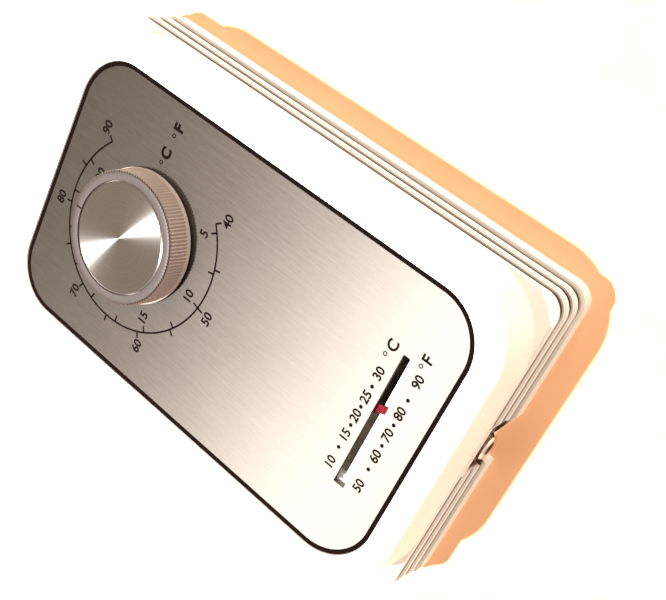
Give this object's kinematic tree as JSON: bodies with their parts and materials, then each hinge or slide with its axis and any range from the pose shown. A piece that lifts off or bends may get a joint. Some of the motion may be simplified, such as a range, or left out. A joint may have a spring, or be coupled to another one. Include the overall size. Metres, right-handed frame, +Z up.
{
  "type": "wall thermostat",
  "caption": "Line-voltage wall thermostat: louvred cover, brushed faceplate, setting knob, bimetal thermometer, cam-set snap switch on a box-mount backplate.",
  "frame": {"origin": "centre of the backplate's back face, on the wall", "axes": "+Z up the wall, the front faces -Y, +X to the right seen from the front"},
  "size_m": [0.077, 0.0339, 0.1204],
  "materials": {
    "cover_plastic": "satin moulded",
    "base_plastic": "satin moulded",
    "plate_metal": "brushed along its length",
    "knob_plastic": "satin, knurled edge",
    "spun_metal": "spun",
    "carrier_plastic": "plain",
    "pointer_red": "gloss enamel",
    "steel": "zinc plated",
    "spring_steel": "dark",
    "brass": "turned",
    "copper_alloy": "rolled",
    "bimetal": "rolled strip",
    "chrome": "bright plated",
    "black_plastic": "moulded phenolic",
    "fibre": "pressed fibre",
    "cam_plastic": "moulded acetal",
    "ground_green": "dyed zinc plate"
  },
  "bodies": {
    "base": {"backplate": "base_plastic", "lock_bracket": "steel", "bracket_rivets": "steel", "mechanism_frame": "steel", "frame_screws": "steel", "ground_screw": "ground_green", "shaft_bushing": "brass", "bushing_nut": "brass", "stop_pin": "steel", "lever_pin": "steel", "lever_spring": "spring_steel", "switch_insulator": "fibre", "switch_housing": "black_plastic", "switch_lid": "black_plastic", "switch_screws": "steel", "fixed_contacts": "copper_alloy", "switch_terminals": "brass", "terminal_screws": "brass"},
    "lock": {"lock_screw": "chrome"},
    "shaft": {"setting_shaft": "steel", "shaft_ring": "spring_steel", "range_cam": "cam_plastic"},
    "lever": {"adjusting_lever": "steel", "bimetal_blade": "bimetal", "blade_rivets": "steel", "calibration_screw": "brass"},
    "plunger": {"switch_plunger": "carrier_plastic", "contact_leaf": "copper_alloy"},
    "cover": {"cover": "cover_plastic", "faceplate": "plate_metal", "thermometer_carrier": "carrier_plastic", "carrier_screws": "steel", "thermometer_coil": "bimetal"},
    "pointer": {"thermometer_pointer": "pointer_red", "pointer_spindle": "steel"},
    "knob": {"knob": "knob_plastic", "knob_insert": "spun_metal", "knob_spring": "spring_steel", "knob_retainer": "spring_steel"}
  },
  "joints": [
    {"name": "cover_pull", "type": "slide", "parent": "base", "child": "cover", "axis": [0, -1, 0], "range_m": [0, 0.03]},
    {"name": "knob_turn", "type": "hinge", "parent": "cover", "child": "knob", "pos_m": [0, -0.0278, 0.0249], "axis": [0, 1, 0], "range_deg": [-218.4, 41.6]},
    {"name": "shaft_turn", "type": "hinge", "parent": "base", "child": "shaft", "pos_m": [0, -0.016, 0.0249], "axis": [0, 1, 0], "range_deg": [-218.4, 41.6]},
    {"name": "lever_swing", "type": "hinge", "parent": "base", "child": "lever", "pos_m": [-0.018, -0.0112, 0.008], "axis": [0, 1, 0], "range_deg": [-2.4, 0.6]},
    {"name": "plunger_press", "type": "slide", "parent": "base", "child": "plunger", "axis": [1, 0, 0], "range_m": [0, 0.0005], "stiffness_N_per_m": 400, "springref_m": -0.0003},
    {"name": "lock_turn", "type": "hinge", "parent": "base", "child": "lock", "pos_m": [0, -0.0055, -0.053], "axis": [0, 0, 1], "continuous": true},
    {"name": "pointer_swing", "type": "hinge", "parent": "cover", "child": "pointer", "pos_m": [0, -0.0255, -0.0296], "axis": [0, -1, 0], "range_deg": [-59.28, 31.92], "stiffness_Nm_per_rad": 0.001}
  ],
  "couplings": [
    {"joint": "shaft_turn", "follows": "knob_turn", "ratio": 1},
    {"joint": "lever_swing", "follows": "knob_turn", "ratio": 0.01043}
  ]
}
